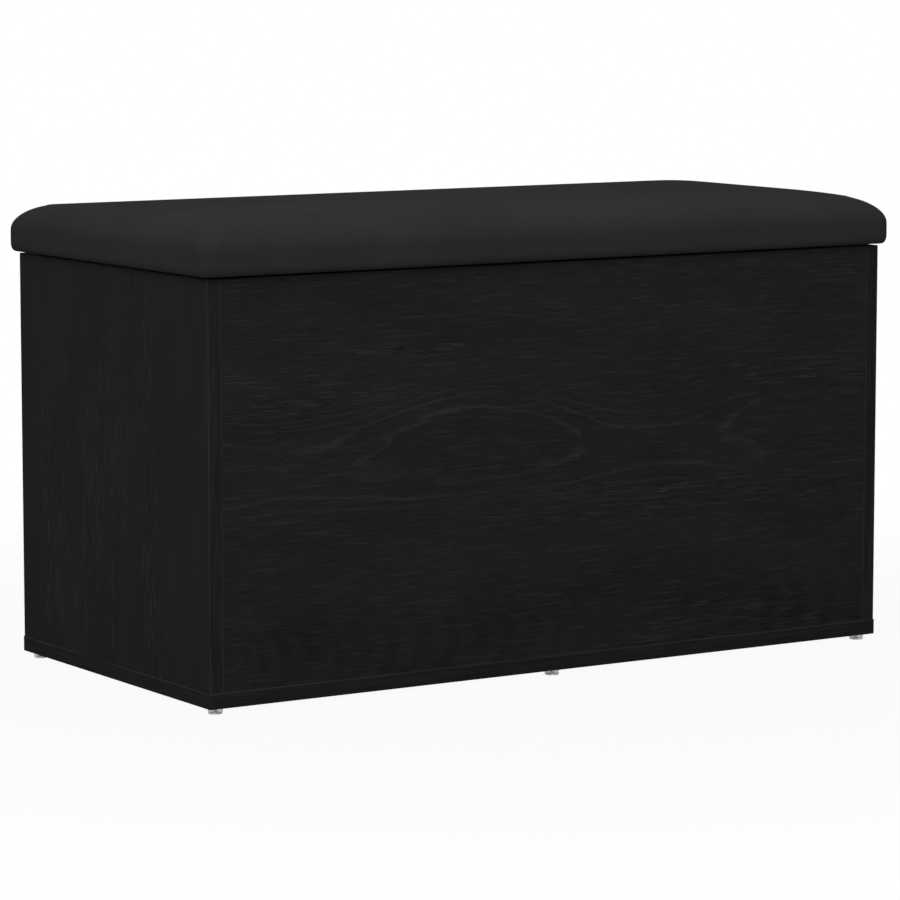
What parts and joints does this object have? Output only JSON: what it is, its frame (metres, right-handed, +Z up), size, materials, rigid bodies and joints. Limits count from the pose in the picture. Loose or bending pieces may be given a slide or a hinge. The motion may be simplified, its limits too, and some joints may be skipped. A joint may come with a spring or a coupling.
{
  "type": "storage bench",
  "caption": "Black board chest bench on short glides with a crowned padded lid that hinges open at the back on gas stays, for sitting on and for storing things inside.",
  "frame": {"origin": "middle of the footprint, on the floor under the glides", "axes": "+X along the bench's width, +Y from the front to the hinged back, +Z up"},
  "size_m": [0.8, 0.4, 0.4583],
  "materials": {
    "black_oak_board": "matt black melamine with a fine oak grain",
    "black_edge_band": "matt black edge strip with a fine grain",
    "upholstery": "matt black woven polyester",
    "foam": "cream polyurethane foam",
    "lid_core": "raw particle board",
    "lining": "black non-woven lining",
    "zinc_steel": "zinc-plated steel",
    "hinge_steel": "black painted steel",
    "cam_zinc": "die-cast zinc",
    "dowel_beech": "beech",
    "foot_plastic": "grey translucent plastic",
    "bumper_rubber": "soft dark rubber",
    "stay_tube_black": "satin black paint",
    "stay_rod_steel": "hard chrome",
    "stay_plastic": "black moulded plastic"
  },
  "bodies": {
    "chest": {"base_panel": "black_oak_board", "left_side_panel": "black_oak_board", "right_side_panel": "black_oak_board", "front_panel": "black_oak_board", "back_panel": "black_oak_board", "left_side_edge_bands": "black_edge_band", "right_side_edge_bands": "black_edge_band", "front_edge_band": "black_edge_band", "back_edge_band": "black_edge_band", "base_edge_bands": "black_edge_band", "base_screws": "zinc_steel", "foot_nails": "zinc_steel", "cam_bolts": "zinc_steel", "chest_hinge_screws": "zinc_steel", "chest_bracket_screws": "zinc_steel", "chest_stay_clips": "zinc_steel", "left_hinge_pin": "zinc_steel", "right_hinge_pin": "zinc_steel", "left_hinge_chest_leaf": "hinge_steel", "right_hinge_chest_leaf": "hinge_steel", "left_stay_chest_bracket": "hinge_steel", "right_stay_chest_bracket": "hinge_steel", "cam_housings": "cam_zinc", "wood_dowels": "dowel_beech", "front_left_foot": "foot_plastic", "front_middle_foot": "foot_plastic", "front_right_foot": "foot_plastic", "back_left_foot": "foot_plastic", "back_middle_foot": "foot_plastic", "back_right_foot": "foot_plastic", "lid_bumpers": "bumper_rubber"},
    "lid": {"seat_cover": "upholstery", "lid_board": "lid_core", "foam_pad": "foam", "lid_lining": "lining", "cover_staples": "zinc_steel", "left_hinge_lid_leaf": "hinge_steel", "right_hinge_lid_leaf": "hinge_steel", "lid_hinge_screws": "zinc_steel", "left_stay_lid_bracket": "hinge_steel", "right_stay_lid_bracket": "hinge_steel", "lid_stay_clips": "zinc_steel", "lid_bracket_screws": "zinc_steel"},
    "left_stay_cylinder": {"left_stay_tube": "stay_tube_black", "left_stay_tube_eye": "stay_plastic", "left_stay_gland": "stay_plastic"},
    "left_stay_plunger": {"left_stay_rod": "stay_rod_steel", "left_stay_rod_eye": "stay_plastic", "left_stay_piston": "stay_plastic"},
    "right_stay_cylinder": {"right_stay_tube": "stay_tube_black", "right_stay_tube_eye": "stay_plastic", "right_stay_gland": "stay_plastic"},
    "right_stay_plunger": {"right_stay_rod": "stay_rod_steel", "right_stay_rod_eye": "stay_plastic", "right_stay_piston": "stay_plastic"}
  },
  "joints": [
    {"name": "lid_hinge", "type": "hinge", "parent": "chest", "child": "lid", "pos_m": [0, 0.1933, 0.4045], "axis": [-1, 0, 0], "range_deg": [0, 80]},
    {"name": "left_stay_upper_pivot", "type": "hinge", "parent": "lid", "child": "left_stay_cylinder", "pos_m": [-0.359, -0.00616, 0.3898], "axis": [-1, 0, 0], "range_deg": [-40, 0]},
    {"name": "left_stay_lower_pivot", "type": "hinge", "parent": "chest", "child": "left_stay_plunger", "pos_m": [-0.359, 0.161, 0.20713], "axis": [-1, 0, 0], "range_deg": [0, 40]},
    {"name": "right_stay_upper_pivot", "type": "hinge", "parent": "lid", "child": "right_stay_cylinder", "pos_m": [0.359, -0.00616, 0.3898], "axis": [-1, 0, 0], "range_deg": [-40, 0]},
    {"name": "right_stay_lower_pivot", "type": "hinge", "parent": "chest", "child": "right_stay_plunger", "pos_m": [0.359, 0.161, 0.20713], "axis": [-1, 0, 0], "range_deg": [0, 40]}
  ],
  "couplings": [
    {"joint": "left_stay_upper_pivot", "follows": "lid_hinge", "ratio": -0.5},
    {"joint": "left_stay_lower_pivot", "follows": "lid_hinge", "ratio": 0.5},
    {"joint": "right_stay_upper_pivot", "follows": "lid_hinge", "ratio": -0.5},
    {"joint": "right_stay_lower_pivot", "follows": "lid_hinge", "ratio": 0.5}
  ]
}
